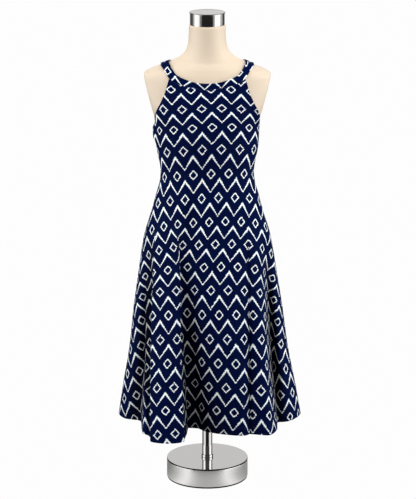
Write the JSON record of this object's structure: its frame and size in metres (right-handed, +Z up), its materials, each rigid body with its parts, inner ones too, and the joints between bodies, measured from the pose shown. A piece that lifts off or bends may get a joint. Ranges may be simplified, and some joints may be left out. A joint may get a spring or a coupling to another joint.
{
  "type": "halter dress on dress form with round stand",
  "caption": "Sleeveless pull-on dress with a round neckband, cut-in armholes and a flared, fluted skirt, worn by a limbless dress form on a pole and round metal base.",
  "frame": {"origin": "centre of the round base's flat underside, on the floor", "axes": "+Z up along the pole; the dress faces -Y, and +X is the viewer's right when looking at its front"},
  "size_m": [0.456, 0.3833, 1.1783],
  "materials": {
    "dress_cloth": "fine knit crepe, navy with a cream zigzag and diamond print",
    "form_skin": "smooth cream satin",
    "bright_chrome": "mirror polished",
    "satin_metal": "satin side, polished top"
  },
  "bodies": {
    "root": {"front_panel": "dress_cloth", "back_panel": "dress_cloth", "front_neckband": "dress_cloth", "back_neckband": "dress_cloth", "form_torso": "form_skin", "form_neck_cap": "bright_chrome", "form_pole": "bright_chrome", "form_pole_collar": "bright_chrome", "form_base": "satin_metal"}
  },
  "joints": []
}
